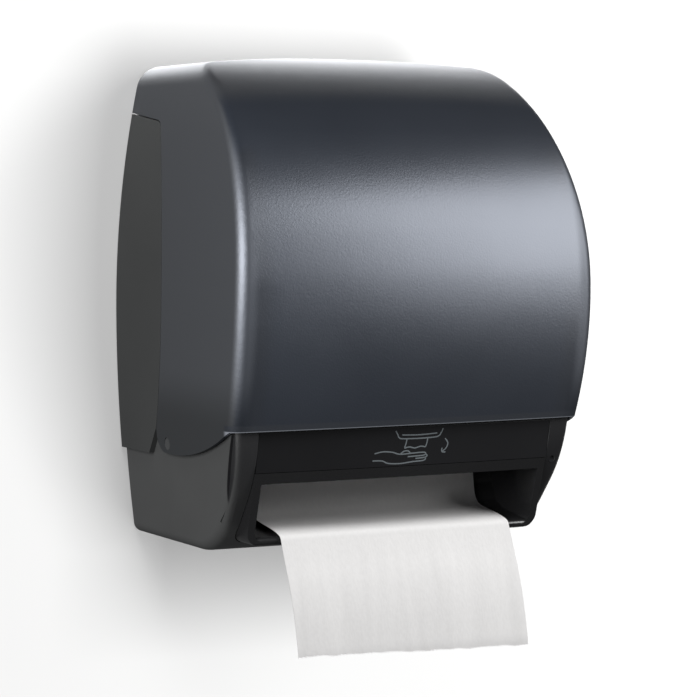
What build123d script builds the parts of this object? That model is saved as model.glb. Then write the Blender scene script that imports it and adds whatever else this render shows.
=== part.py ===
from build123d import *
import os
from math import acos, atan2, cos, pi, radians, sin, sqrt, tan

os.makedirs("parts", exist_ok=True)

# Axes: X to the right seen from the front, the front faces -Y, Z up.
# The origin is the centre of the four wall screws, on the wall face. Millimetres.

# Outer form: a barrel seen from the front, a domed roof and bowed front seen from the side
half_width = 156.2
barrel_z = -18.0
barrel_upper_radius = 860.0
barrel_lower_radius = 1450.0
crown_z = 185.4
crown_radius = 1220.0
shoulder_radius = 22.0
depth = 236.0
nose_z = 10.0
roof_radius = 176.0
chest_radius = 331.0
bow_radius = 2434.0
corner_radius = 10.0
form_floor_z = -150.0

# Walls and the steps between the shells
cover_wall = 2.8
housing_inset = 4.4
housing_wall = 3.0
wall_gap = 0.6
seam_gap = 0.8

# Lower housing
bottom_z = -200.0
chin_centre = (-103.7, -90.8)
chin_radius = 109.2
chin_angle = 35.5
foot_radius = 70.0
housing_corner_radius = 8.5
back_plate_top_z = 176.0
cheek_top_z = -95.0
groove_depth = 2.2
groove_front = [
    (147.6, cheek_top_z), (145.1, -129.6), (143.5, -153.6), (141.6, -173.5), (145.5, -169.8),
    (148.4, -153.3), (153.0, -144.0), (half_width, -144.0), (half_width, cheek_top_z),
]
groove_side = [
    (-202.5, cheek_top_z), (-202.5, -104.0), (-184.0, -158.0), (-166.0, -176.0), (-depth, -176.0),
    (-depth, cheek_top_z),
]

# Seam between the cover and the rear side panels, seen from the side
seam_wall_z = 142.0
seam_corner = (-60.5, 134.5)
seam_corner_radius = 9.0
seam_bulge = (-91.0, -6.0)
seam_foot = (-74.0, -108.0)
lobe_turn = (-77.0, -120.5)
lobe_bottom = (-88.0, -126.6)
skirt_middle = (-160.0, -118.8)
skirt_end = (-207.0, -100.8)
crevice_foot = (-56.0, -129.5)

# Cover hinge
hinge_y = -93.0
hinge_z = -119.0
hinge_pin_radius = 4.9
hinge_clearance = 0.08

# Outlet
outlet_half_width = 122.7
outlet_corner_radius = 8.0
outlet_top_z = -142.0
crease_z = -133.5
crease_y = -205.5
lip_y = -186.0
lip_z = -187.6
lip_radius = 3.2
frame_rear_y = -111.0
frame_floor_z = -190.8
frame_top_z = -130.5
fascia_gap = 0.4
fascia_wall = 3.0
fascia_shoulder = (-212.3, -103.0)
frame_wall = 5.9
fascia_edge_x = outlet_half_width + frame_wall
frame_corner_radius = 11.0

# Towel
towel_width = 203.2
towel_thickness = 0.3
roll_y = -depth / 2
roll_z = 60.0
roll_radius = 88.0
core_radius = 22.0
core_wall = 1.6

# Feed and pinch rollers, gears
feed_y = -112.0
feed_z = -120.0
feed_radius = 16.0
feed_core_radius = 11.0
feed_shaft_radius = 4.0
pinch_radius = 11.0
pinch_shaft_radius = 2.5
pinch_angle = 170.0
nip_gap = 0.9
tyre_length = 48.0
tyre_pitch = 72.0
plate_x = outlet_half_width - 4.7
plate_thickness = 3.0
plate_top_z = -84.0
gear_module = 1.25
drive_teeth = 36
idler_teeth = 20
pinion_teeth = 12
gear_x = plate_x + 11.5
gear_width = 6.0
idler_angle = -20.0
motor_angle = -80.0
running_clearance = 0.06

# Wall screws
screw_spacing_x = 152.4
screw_spacing_z = 127.0
screw_hole_radius = 2.75


# Barrel side, crown and chest of the form, each moved in by inset
def side_x(z, inset):
    radius = (barrel_upper_radius if z > barrel_z else barrel_lower_radius) - inset
    return half_width - inset - radius + sqrt(radius**2 - (z - barrel_z) ** 2)


def crown_height(x, inset):
    return crown_z - crown_radius + sqrt((crown_radius - inset) ** 2 - x**2)


def chest_y(z, inset):
    return chest_radius - depth - sqrt((chest_radius - inset) ** 2 - (z - nose_z) ** 2)


# The form seen from the front, down to floor_z
def front_outline(inset, floor_z):
    top_z = crown_z
    for _ in range(8):
        top_x = side_x(top_z, inset)
        top_z = crown_height(top_x, inset)
    low_x = side_x(floor_z, inset)
    low_middle_z = (floor_z + barrel_z) / 2
    top_middle_z = (top_z + barrel_z) / 2
    with BuildSketch(Plane.XZ) as outline:
        with BuildLine():
            Line((-low_x, floor_z), (low_x, floor_z))
            for side in (1, -1):
                foot = (side * low_x, floor_z)
                low_middle = (side * side_x(low_middle_z, inset), low_middle_z)
                widest = (side * (half_width - inset), barrel_z)
                top_middle = (side * side_x(top_middle_z, inset), top_middle_z)
                ThreePointArc(foot, low_middle, widest)
                ThreePointArc(widest, top_middle, (side * top_x, top_z))
            ThreePointArc((-top_x, top_z), (0, crown_z - inset), (top_x, top_z))
        make_face()
        fillet(outline.vertices().group_by(Axis.Y)[-1], shoulder_radius - inset)
    return outline.sketch


# Edges in front of the wall, from lowest_z up, where two faces meet at an angle
def sharp_edges(part, lowest_z):
    faces_by_edge = {}
    for face in part.faces():
        for edge in face.edges():
            faces_by_edge.setdefault(edge, []).append(face)
    found = []
    for edge, faces in faces_by_edge.items():
        middle = edge @ 0.5
        if len(faces) < 2 or middle.Y > -1 or middle.Z < lowest_z:
            continue
        if faces[0].normal_at(middle).dot(faces[1].normal_at(middle)) < 0.999:
            found.append(edge)
    return found


# The front is bowed by turning the side profile about a far upright axis behind the wall
bow_y = bow_radius - depth
bow_half_angle = 4.6
bow_axis = Axis((0, bow_y, 0), (0, 0, 1))
bow_sine = sin(radians(bow_half_angle))
bow_cosine = cos(radians(bow_half_angle))
bow_plane = Plane(
    origin=(0, bow_y, 0), x_dir=(bow_sine, bow_cosine, 0), z_dir=(bow_cosine, -bow_sine, 0)
)
behind_wall_y = 20.0


def bowed(y, z):
    return (y - bow_y, z)


# The whole outer form moved in by inset, flat on the wall plane at its back
def form(inset, floor_z):
    middle_z = (floor_z + nose_z) / 2
    roof = roof_radius - inset
    roof_y = roof_radius - depth
    half_roof = (roof_y - roof * sin(pi / 4), nose_z + roof * cos(pi / 4))
    floor_y = chest_y(floor_z, inset)
    with BuildPart() as body:
        with BuildSketch(bow_plane):
            with BuildLine():
                Line(bowed(behind_wall_y, floor_z), bowed(floor_y, floor_z))
                ThreePointArc(
                    bowed(floor_y, floor_z),
                    bowed(chest_y(middle_z, inset), middle_z),
                    bowed(inset - depth, nose_z),
                )
                ThreePointArc(
                    bowed(inset - depth, nose_z), bowed(*half_roof), bowed(roof_y, nose_z + roof)
                )
                Line(bowed(roof_y, nose_z + roof), bowed(behind_wall_y, nose_z + roof))
                Line(bowed(behind_wall_y, nose_z + roof), bowed(behind_wall_y, floor_z))
            make_face()
        revolve(axis=bow_axis, revolution_arc=2 * bow_half_angle)
        extrude(front_outline(inset, floor_z), amount=depth + housing_inset, mode=Mode.INTERSECT)
        fillet(sharp_edges(body.part, floor_z + 1), corner_radius - inset)
    return body.part


# Front of the lower housing in side view: an arc behind the cover's lower edge, then a straight
# slope down to the floor; inset counts from the outer form as above
def chin_y(z, inset):
    radius = chin_radius - inset + housing_inset
    return chin_centre[0] - sqrt(radius**2 - (z - chin_centre[1]) ** 2)


# The lower housing's own form moved in by inset, rounded at its foot and along its floor
def chin_form(inset, floor_z):
    radius = chin_radius - inset + housing_inset
    chin_cosine = cos(radians(chin_angle))
    chin_sine = sin(radians(chin_angle))
    top = (chin_centre[0] - radius, chin_centre[1])
    turn = (chin_centre[0] - radius * chin_cosine, chin_centre[1] - radius * chin_sine)
    foot = (turn[0] + (turn[1] - floor_z) * tan(radians(chin_angle)), floor_z)
    middle_z = chin_centre[1] - radius * sin(radians(chin_angle / 2))
    with BuildPart() as body:
        with BuildSketch(bow_plane) as profile:
            with BuildLine():
                Polyline(
                    bowed(*top), bowed(top[0], back_plate_top_z),
                    bowed(behind_wall_y, back_plate_top_z), bowed(behind_wall_y, floor_z),
                    bowed(*foot), bowed(*turn),
                )
                ThreePointArc(bowed(*turn), bowed(chin_y(middle_z, inset), middle_z), bowed(*top))
            make_face()
            fillet(profile.vertices().sort_by_distance(bowed(*foot))[0], foot_radius - inset)
        revolve(axis=bow_axis, revolution_arc=2 * bow_half_angle)
        below_floor_z = floor_z - housing_corner_radius
        extrude(front_outline(inset, below_floor_z), amount=depth, mode=Mode.INTERSECT)
        rounded = [edge for edge in sharp_edges(body.part, floor_z - 1) if (edge @ 0.5).Z < nose_z]
        fillet(rounded, housing_corner_radius + housing_inset - inset)
    return body.part


# Side view of the cover
def cover_region():
    with BuildSketch(Plane.YZ) as region:
        with BuildLine():
            front_y = -depth - housing_inset
            roof_z = crown_z + shoulder_radius
            Line((-wall_gap, seam_wall_z), seam_corner)
            ThreePointArc(seam_corner, seam_bulge, seam_foot)
            ThreePointArc(seam_foot, lobe_turn, lobe_bottom)
            ThreePointArc(lobe_bottom, skirt_middle, skirt_end)
            Polyline(
                skirt_end, (front_y, skirt_end[1]), (front_y, roof_z), (-wall_gap, roof_z),
                (-wall_gap, seam_wall_z),
            )
        make_face()
        fillet(region.vertices().sort_by_distance(seam_corner)[0], seam_corner_radius)
    return region.sketch


# Screw with a domed head, standing on its head plane
def screw(plane, head_radius, shank_radius, length):
    with BuildPart() as fastener:
        with BuildSketch(plane):
            Circle(head_radius)
        extrude(amount=head_radius * 0.55)
        fillet(fastener.edges().sort_by(SortBy.LENGTH)[-1:], head_radius * 0.2)
        with BuildSketch(plane):
            Circle(shank_radius)
        extrude(amount=-length)
    return fastener.part


# Tooth outline for a gear turning in the YZ plane, pointing along local X
def tooth_points(teeth):
    pitch = teeth * gear_module / 2
    root = pitch - 1.2 * gear_module
    tip = pitch + 0.85 * gear_module
    half_root = 0.98 * gear_module
    half_pitch = 0.6 * gear_module
    half_tip = 0.3 * gear_module
    return [
        (root - 0.5, -half_root), (root, -half_root), (pitch, -half_pitch), (tip, -half_tip),
        (tip, half_tip), (pitch, half_pitch), (root, half_root), (root - 0.5, half_root),
    ]


def gear_disc(teeth, phase, y, z, bore):
    pitch = teeth * gear_module / 2
    with BuildSketch(Plane.YZ.offset(gear_x)) as disc:
        with Locations((y, z)):
            Circle(pitch - 1.2 * gear_module)
            with PolarLocations(0, teeth, start_angle=phase):
                Polygon(*tooth_points(teeth), align=None)
            Circle(bore, mode=Mode.SUBTRACT)
    return disc.sketch


# Derived places
drive_pitch = drive_teeth * gear_module / 2
drive_outer = drive_pitch + 0.85 * gear_module
idler_pitch = idler_teeth * gear_module / 2
pinion_pitch = pinion_teeth * gear_module / 2
idler_y = feed_y + (drive_pitch + idler_pitch) * cos(radians(idler_angle))
idler_z = feed_z + (drive_pitch + idler_pitch) * sin(radians(idler_angle))
motor_y = idler_y + (idler_pitch + pinion_pitch) * cos(radians(motor_angle))
motor_z = idler_z + (idler_pitch + pinion_pitch) * sin(radians(motor_angle))
nip_distance = feed_radius + pinch_radius + nip_gap
pinch_y = feed_y + nip_distance * cos(radians(pinch_angle))
pinch_z = feed_z + nip_distance * sin(radians(pinch_angle))
inner_bottom_z = bottom_z + housing_wall
wall_x = side_x(hinge_z, housing_inset + housing_wall)
hinge_pin_inner_x = wall_x - 6.3


# Side cylinder along X between two x values
def rod(radius, x_from, x_to, y, z):
    with BuildPart() as bar:
        with BuildSketch(Plane.YZ.offset(x_from)):
            with Locations((y, z)):
                Circle(radius)
        extrude(amount=x_to - x_from)
    return bar.part


hinge_hole = rod(hinge_pin_radius + hinge_clearance, -half_width, half_width, hinge_y, hinge_z)

# Rear housing: back plate, inner side walls, bottom pan and front cheeks in one moulding
side_wall_reach = 108.0
side_wall_top = (seam_corner[0] - 5.5, seam_corner[1] - 1.0)


# Front view of the outlet: open upwards, rounded at its two bottom corners
def outlet_outline(half, low_z, radius):
    with BuildSketch(Plane.XZ) as outline:
        with Locations((0, low_z)):
            Rectangle(2 * half, -low_z, align=(Align.CENTER, Align.MIN))
        fillet(outline.vertices().group_by(Axis.Z)[0], radius)
    return outline.sketch


with BuildSketch(Plane.YZ) as side_wall_region:
    with BuildLine():
        Polyline((0, bottom_z), (0, side_wall_top[1]), side_wall_top)
        ThreePointArc(side_wall_top, (-side_wall_reach, -6), (-100, -70))
        Polyline(
            (-100, -70), (-200, cheek_top_z), (-depth, cheek_top_z), (-depth, bottom_z), (0, bottom_z)
        )
    make_face()

housing_form = chin_form(housing_inset, bottom_z)
wall_slab = Box(2 * half_width, 2 * housing_wall, 2 * depth)
housing_cavity = chin_form(housing_inset + housing_wall, inner_bottom_z) - wall_slab
above_back_plate = Pos(0, 0, back_plate_top_z + depth) * Box(2 * half_width, depth, 2 * depth)
back_plate = (housing_form & wall_slab) - above_back_plate

# Tapered channels down the two front corners, as deep as groove_depth
with BuildPart() as corner_grooves:
    with BuildSketch(Plane.XZ):
        for side in (1, -1):
            Polygon(*[(side * x, z) for x, z in groove_front], align=None)
    extrude(amount=depth)
    with BuildSketch(Plane.YZ):
        Polygon(*groove_side, align=None)
    extrude(amount=half_width, both=True, mode=Mode.INTERSECT)
    add(chin_form(housing_inset + groove_depth, inner_bottom_z), mode=Mode.SUBTRACT)

lens_x = 136.0
lens_z = -135.4
lens_radius = 3.0
with BuildPart() as rear_housing:
    add(housing_form)
    extrude(side_wall_region.sketch, amount=half_width, both=True, mode=Mode.INTERSECT)
    add(housing_cavity, mode=Mode.SUBTRACT)
    add(back_plate)
    outlet_cut = outlet_outline(
        fascia_edge_x + fascia_gap, frame_floor_z - fascia_gap, frame_corner_radius + fascia_gap
    )
    extrude(Pos(0, frame_rear_y, 0) * outlet_cut, amount=depth, mode=Mode.SUBTRACT)
    add(corner_grooves.part, mode=Mode.SUBTRACT)
    with BuildSketch(Plane.XZ.offset(-chin_y(lens_z, housing_inset) - 25)):
        with Locations((lens_x, lens_z)):
            Circle(lens_radius + 0.05)
    extrude(amount=50, mode=Mode.SUBTRACT)
    with BuildSketch(Plane.XZ):
        with GridLocations(screw_spacing_x, screw_spacing_z, 2, 2):
            Circle(screw_hole_radius)
    extrude(amount=housing_wall, mode=Mode.SUBTRACT)
    add(hinge_hole, mode=Mode.SUBTRACT)
rear_housing.part.label = "rear_housing"
export_step(rear_housing.part, "parts/rear_housing.step")

# Rear side panels: flush with the cover, lapped onto the housing's side walls
with BuildSketch(Plane.YZ) as panel_region:
    with BuildLine():
        corner = (seam_corner[0] + seam_gap, seam_corner[1] - seam_gap)
        bulge = (seam_bulge[0] + seam_gap, seam_bulge[1])
        foot = (seam_foot[0] + seam_gap, seam_foot[1])
        Polyline((-wall_gap, crevice_foot[1]), (-wall_gap, seam_wall_z - seam_gap), corner)
        ThreePointArc(corner, bulge, foot)
        Polyline(foot, crevice_foot, (-wall_gap, crevice_foot[1]))
    make_face()
    fillet(panel_region.vertices().sort_by_distance(corner)[0], seam_corner_radius)

side_panels = form(0, form_floor_z) - form(housing_inset, form_floor_z)
for side, side_name in ((-1, "left"), (1, "right")):
    with BuildPart() as side_panel:
        add(side_panels)
        extrude(panel_region.sketch, amount=side * half_width, mode=Mode.INTERSECT)
    side_panel.part.label = f"side_panel_{side_name}"
    export_step(side_panel.part, f"parts/side_panel_{side_name}.step")

# Front cover: one thin moulding, hung on the hinge pins at the foot of its side lobes
lock_y = -32.0
lock_barrel_radius = 8.5
lock_clearance = 0.1
cover_roof_z = crown_z - cover_wall

with BuildPart() as front_cover:
    add(form(0, form_floor_z))
    add(form(cover_wall, form_floor_z), mode=Mode.SUBTRACT)
    extrude(cover_region(), amount=half_width, both=True, mode=Mode.INTERSECT)
    add(hinge_hole, mode=Mode.SUBTRACT)
    with BuildSketch(Plane.XY.offset(cover_roof_z - 2)):
        with Locations((0, lock_y)):
            Circle(lock_barrel_radius + lock_clearance)
    extrude(amount=2 * cover_wall + 2, mode=Mode.SUBTRACT)
front_cover.part.label = "front_cover"
export_step(front_cover.part, "parts/front_cover.step")

# Hinge pins: pressed into the housing's walls, their ends flush with the cover
hinge_pin_outer_x = side_x(hinge_z, 0) - 0.3
with BuildPart() as hinge_pins:
    for side in (1, -1):
        with BuildSketch(Plane.YZ.offset(side * hinge_pin_inner_x)):
            with Locations((hinge_y, hinge_z)):
                Circle(hinge_pin_radius)
        extrude(amount=side * (hinge_pin_outer_x - hinge_pin_inner_x))
        with BuildSketch(Plane.YZ.offset(side * hinge_pin_inner_x)):
            with Locations((hinge_y, hinge_z)):
                Circle(hinge_pin_radius + 2.5)
        extrude(amount=side * (wall_x - hinge_pin_inner_x - 0.6))
hinge_pins.part.label = "hinge_pins"
export_step(hinge_pins.part, "parts/hinge_pins.step")

# Cover lock: barrel in the roof, turning plug with its keyhole, cam below
lock_top_z = crown_z - 0.4
lock_foot_z = 171.0
plug_radius = 6.0
cam_top_z = 169.8
cam_thickness = 2.5
cam_length = 22.0
cam_half_width = 4.0

with BuildPart() as lock_barrel:
    with BuildSketch(Plane.XY.offset(lock_foot_z)):
        with Locations((0, lock_y)):
            Circle(lock_barrel_radius)
            Circle(plug_radius + running_clearance, mode=Mode.SUBTRACT)
    extrude(amount=lock_top_z - lock_foot_z)
    with BuildSketch(Plane.XY.offset(cover_roof_z - 5.0)):
        with Locations((0, lock_y)):
            Circle(lock_barrel_radius + 2.5)
            Circle(lock_barrel_radius - 1, mode=Mode.SUBTRACT)
    extrude(amount=4.6)
lock_barrel.part.label = "lock_barrel"
export_step(lock_barrel.part, "parts/lock_barrel.step")

with BuildPart() as lock_plug:
    with BuildSketch(Plane.XY.offset(cam_top_z - cam_thickness - 1.5)):
        with Locations((0, lock_y)):
            Circle(plug_radius - 3.0)
    extrude(amount=6)
    with BuildSketch(Plane.XY.offset(cam_top_z)):
        with Locations((0, lock_y)):
            Circle(plug_radius)
    extrude(amount=lock_top_z - cam_top_z - 0.4)
    with BuildSketch(Plane.XY.offset(lock_top_z)):
        with Locations((0, lock_y)):
            Rectangle(1.4, 7.0)
    extrude(amount=-6, mode=Mode.SUBTRACT)
lock_plug.part.label = "lock_plug"
export_step(lock_plug.part, "parts/lock_plug.step")

with BuildPart() as lock_cam:
    with BuildSketch(Plane.XY.offset(cam_top_z - cam_thickness)):
        with Locations((0, lock_y)):
            Circle(plug_radius)
        with Locations((0, lock_y + cam_length / 2)):
            Rectangle(2 * cam_half_width, cam_length)
        with Locations((0, lock_y)):
            Circle(plug_radius - 3.0, mode=Mode.SUBTRACT)
    extrude(amount=cam_thickness)
lock_cam.part.label = "lock_cam"
export_step(lock_cam.part, "parts/lock_cam.step")

# Lock keeper: a hooked bracket on the back plate, which the turned cam goes behind
keeper_inner_x = 9.8
keeper_web_x = 24.0
keeper_wall = 2.5
keeper_low_z = 160.0
keeper_high_z = 174.0
keeper_lip_y = lock_y - cam_half_width - 1.4
with BuildPart() as lock_keeper:
    with BuildSketch(Plane.XY.offset(keeper_low_z)):
        with BuildLine():
            Polyline(
                (keeper_inner_x, keeper_lip_y), (keeper_web_x, keeper_lip_y),
                (keeper_web_x, -housing_wall - keeper_wall), (keeper_inner_x, -housing_wall - keeper_wall),
                (keeper_inner_x, -housing_wall), (keeper_web_x + keeper_wall + 12, -housing_wall),
                (keeper_web_x + keeper_wall + 12, -housing_wall - keeper_wall),
                (keeper_web_x + keeper_wall, -housing_wall - keeper_wall),
                (keeper_web_x + keeper_wall, keeper_lip_y - keeper_wall),
                (keeper_inner_x, keeper_lip_y - keeper_wall), (keeper_inner_x, keeper_lip_y),
            )
        make_face()
    extrude(amount=keeper_high_z - keeper_low_z)
lock_keeper.part.label = "lock_keeper"
export_step(lock_keeper.part, "parts/lock_keeper.step")

# Outlet frame: glossy scoop with a rounded lip, sides flaring forward of the chin
chute_wall = [(-127.5, -138.0), (-132.0, -160.0), (-138.5, -174.0), (-149.0, -179.8)]
lip_top_z = lip_z + lip_radius
tear_bar_y = -163.6

with BuildPart() as outlet_frame:
    with BuildSketch(bow_plane):
        with BuildLine():
            Polyline(
                bowed(lip_y, frame_floor_z), bowed(-142.6, frame_floor_z), bowed(-135.0, -175.5),
                bowed(-128.2, -161.0), bowed(-124.5, -138.0), bowed(-146.0, frame_top_z),
                bowed(crease_y + fascia_wall + fascia_gap, frame_top_z),
                bowed(crease_y + fascia_wall + fascia_gap, crease_z), bowed(crease_y, crease_z),
                bowed(lip_y - lip_radius, lip_z), bowed(lip_y, frame_floor_z),
            )
        make_face()
        with Locations(bowed(lip_y, lip_z)):
            Circle(lip_radius)
    revolve(axis=bow_axis, revolution_arc=2 * bow_half_angle)
    outer_outline = outlet_outline(fascia_edge_x, frame_floor_z, frame_corner_radius)
    extrude(outer_outline, amount=depth, mode=Mode.INTERSECT)
    with BuildSketch(bow_plane):
        with BuildLine():
            Polyline(
                bowed(lip_y, lip_top_z), bowed(*chute_wall[3]), bowed(*chute_wall[2]),
                bowed(*chute_wall[1]), bowed(*chute_wall[0]), bowed(chute_wall[0][0], frame_top_z + 5),
                bowed(tear_bar_y + 2, frame_top_z + 5), bowed(tear_bar_y + 2, outlet_top_z),
                bowed(-depth, outlet_top_z), bowed(-depth, lip_z), bowed(lip_y - lip_radius, lip_z),
            )
            ThreePointArc(
                bowed(lip_y - lip_radius, lip_z),
                bowed(lip_y - lip_radius * sin(pi / 4), lip_z + lip_radius * cos(pi / 4)),
                bowed(lip_y, lip_top_z),
            )
        make_face()
    mouth = revolve(axis=bow_axis, revolution_arc=2 * bow_half_angle, mode=Mode.PRIVATE)
    mouth_outline = outlet_outline(outlet_half_width, lip_z, outlet_corner_radius)
    add(mouth & extrude(mouth_outline, amount=depth, mode=Mode.PRIVATE), mode=Mode.SUBTRACT)
    with BuildSketch(Plane.XY.offset(outlet_top_z)):
        with Locations((0, tear_bar_y)):
            Rectangle(2 * outlet_half_width, 20, align=(Align.CENTER, Align.MIN))
    extrude(amount=outlet_top_z * -0.1, mode=Mode.SUBTRACT)
    with BuildSketch(Plane.XY.offset(outlet_top_z + fascia_wall)):
        with Locations((0, tear_bar_y - fascia_wall)):
            Rectangle(2 * outlet_half_width, 30, align=(Align.CENTER, Align.MAX))
    extrude(amount=outlet_top_z * -0.1, mode=Mode.SUBTRACT)
outlet_frame.part.label = "outlet_frame"
export_step(outlet_frame.part, "parts/outlet_frame.step")

# Front fascia: black panel between the cheeks, straight down to the outlet's upper edge
fascia_top = (-212.2, -99.5)
fascia_low_z = crease_z + fascia_gap
with BuildPart() as front_fascia:
    with BuildSketch(bow_plane):
        with BuildLine():
            Polyline(
                bowed(*fascia_top), bowed(*fascia_shoulder), bowed(crease_y - 0.1, fascia_low_z),
                bowed(crease_y + fascia_wall, fascia_low_z),
                bowed(fascia_top[0] + fascia_wall, fascia_top[1]), bowed(*fascia_top),
            )
        make_face()
    revolve(axis=bow_axis, revolution_arc=2 * bow_half_angle)
    with BuildSketch(Plane.XZ):
        Rectangle(2 * fascia_edge_x, 2 * depth)
    extrude(amount=depth, mode=Mode.INTERSECT)
front_fascia.part.label = "front_fascia"
export_step(front_fascia.part, "parts/front_fascia.step")

# Indicator lens, set back in its hole in the right cheek
lens_bow = bow_radius - sqrt(bow_radius**2 - lens_x**2)
lens_front_y = chin_y(lens_z, housing_inset) + lens_bow + 0.9
lens_length = housing_wall + 1.5
with BuildPart() as indicator_lens:
    with BuildSketch(Plane.XZ.offset(-lens_front_y - lens_length)):
        with Locations((lens_x, lens_z)):
            Circle(lens_radius)
    extrude(amount=lens_length)
    fillet(indicator_lens.edges().group_by(Axis.Y)[0], 0.8)
indicator_lens.part.label = "indicator_lens"
export_step(indicator_lens.part, "parts/indicator_lens.step")

# Mechanism plates: carry the rollers, the gears and the motor, standing on the bottom pan
plate_rear_y = -58.0
plate_step_y = -106.0
plate_step_z = frame_top_z + fascia_gap
plate_front_y = -165.0
lid_screw_radius = 1.0
lid_screw_y = (plate_rear_y - 6, plate_front_y + 6)
pivot_y = -146.0
pivot_z = -92.0
pivot_radius = 2.5
bearing_radius = feed_shaft_radius + 2.5
bearing_flange = 1.5

for side, side_name in ((-1, "left"), (1, "right")):
    with BuildPart() as mechanism_plate:
        with BuildSketch(Plane.YZ.offset(side * plate_x)):
            with BuildLine():
                Polyline(
                    (plate_rear_y, inner_bottom_z), (plate_rear_y, plate_top_z),
                    (plate_front_y, plate_top_z), (plate_front_y, plate_step_z),
                    (plate_step_y, plate_step_z), (plate_step_y, inner_bottom_z),
                    (plate_rear_y, inner_bottom_z),
                )
            make_face()
            with Locations((feed_y, feed_z)):
                Circle(bearing_radius, mode=Mode.SUBTRACT)
            with Locations((pivot_y, pivot_z)):
                Circle(pivot_radius, mode=Mode.SUBTRACT)
            if side > 0:
                with Locations((idler_y, idler_z)):
                    Circle(2.0, mode=Mode.SUBTRACT)
                with Locations((motor_y, motor_z)):
                    Circle(4.0, mode=Mode.SUBTRACT)
        extrude(amount=side * plate_thickness)
        with BuildSketch(Plane.XY.offset(inner_bottom_z)):
            with Locations((side * (plate_x - 5), (plate_rear_y + plate_step_y) / 2)):
                Rectangle(10, plate_rear_y - plate_step_y)
        extrude(amount=plate_thickness)
        with BuildSketch(Plane.XY.offset(plate_top_z)):
            for place in lid_screw_y:
                with Locations((side * (plate_x + plate_thickness / 2), place)):
                    Circle(lid_screw_radius)
        extrude(amount=-6, mode=Mode.SUBTRACT)
    mechanism_plate.part.label = f"mechanism_plate_{side_name}"
    export_step(mechanism_plate.part, f"parts/mechanism_plate_{side_name}.step")

# Mechanism lid: rests on the plates, slotted for the towel, holds the button and the selector
lid_thickness = 2.5
lid_slot_y = (-157.0, -136.0)
button_x = 88.0
button_y = -80.0
button_radius = 6.0
selector_x = 60.0
selector_travel = 6.0
selector_size = (6.0, 5.0)
with BuildPart() as mechanism_lid:
    with BuildSketch(Plane.XY.offset(plate_top_z)):
        with Locations((0, (plate_rear_y + plate_front_y) / 2)):
            RectangleRounded(2 * (plate_x + plate_thickness), plate_rear_y - plate_front_y, 4)
        with Locations((0, sum(lid_slot_y) / 2)):
            Rectangle(towel_width + 8, lid_slot_y[1] - lid_slot_y[0], mode=Mode.SUBTRACT)
        with Locations((button_x, button_y)):
            Circle(button_radius + 0.3, mode=Mode.SUBTRACT)
        with Locations((selector_x + selector_travel / 2, button_y)):
            Rectangle(
                selector_size[0] + selector_travel + 0.6, selector_size[1] + 0.6, mode=Mode.SUBTRACT
            )
        for side in (-1, 1):
            for place in lid_screw_y:
                with Locations((side * (plate_x + plate_thickness / 2), place)):
                    Circle(lid_screw_radius, mode=Mode.SUBTRACT)
    extrude(amount=lid_thickness)
mechanism_lid.part.label = "mechanism_lid"
export_step(mechanism_lid.part, "parts/mechanism_lid.step")

# Feed button and towel-length selector, both on the circuit board under the lid
board_z = -95.0
board_thickness = 1.6
switch_top_z = board_z + board_thickness + 4.0
button_travel = 1.5
with BuildPart() as feed_button:
    with BuildSketch(Plane.XY.offset(switch_top_z + button_travel + 0.3)):
        with Locations((button_x, button_y)):
            Circle(button_radius)
    extrude(amount=plate_top_z + lid_thickness + 2.5 - (switch_top_z + button_travel + 0.3))
    fillet(feed_button.edges().group_by(Axis.Z)[-1], 0.8)
feed_button.part.label = "feed_button"
export_step(feed_button.part, "parts/feed_button.step")

with BuildPart() as length_selector:
    with BuildSketch(Plane.XY.offset(switch_top_z + 0.2)):
        with Locations((selector_x, button_y)):
            Rectangle(*selector_size)
    extrude(amount=plate_top_z + lid_thickness + 1.5 - (switch_top_z + 0.2))
    chamfer(length_selector.edges().group_by(Axis.Z)[-1], 0.6)
length_selector.part.label = "length_selector"
export_step(length_selector.part, "parts/length_selector.step")

# Circuit board on two posts of the right plate's foot side, with its parts
board_x = (0.0, 108.0)
board_y = (-99.0, -61.0)
post_radius = 2.5
with BuildPart() as circuit_board:
    with BuildSketch(Plane.XY.offset(board_z)):
        with Locations((sum(board_x) / 2, sum(board_y) / 2)):
            RectangleRounded(board_x[1] - board_x[0], board_y[1] - board_y[0], 2)
    extrude(amount=board_thickness)
circuit_board.part.label = "circuit_board"
export_step(circuit_board.part, "parts/circuit_board.step")

with BuildPart() as board_components:
    with BuildSketch(Plane.XY.offset(board_z + board_thickness)):
        with Locations((button_x, button_y)):
            Rectangle(12, 12)
        with Locations((selector_x + selector_travel / 2, button_y)):
            Rectangle(16, 8)
        with Locations((34, -88)):
            Rectangle(18, 10)
        with Locations((12, -70)):
            Rectangle(10, 6)
    extrude(amount=4.0)
    with BuildSketch(Plane.XY.offset(board_z + board_thickness)):
        with Locations((40, -70), (14, -86)):
            Circle(4)
    extrude(amount=8.0)
board_components.part.label = "board_components"
export_step(board_components.part, "parts/board_components.step")

# Posts that hang the board from the lid
with BuildPart() as board_posts:
    with BuildSketch(Plane.XY.offset(board_z + board_thickness)):
        with Locations((board_x[0] + 4, board_y[0] + 4), (board_x[0] + 4, board_y[1] - 4)):
            Circle(post_radius)
        with Locations((board_x[1] - 4, board_y[0] + 4), (board_x[1] - 4, board_y[1] - 4)):
            Circle(post_radius)
    extrude(amount=plate_top_z - board_z - board_thickness)
board_posts.part.label = "board_posts"
export_step(board_posts.part, "parts/board_posts.step")

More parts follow.
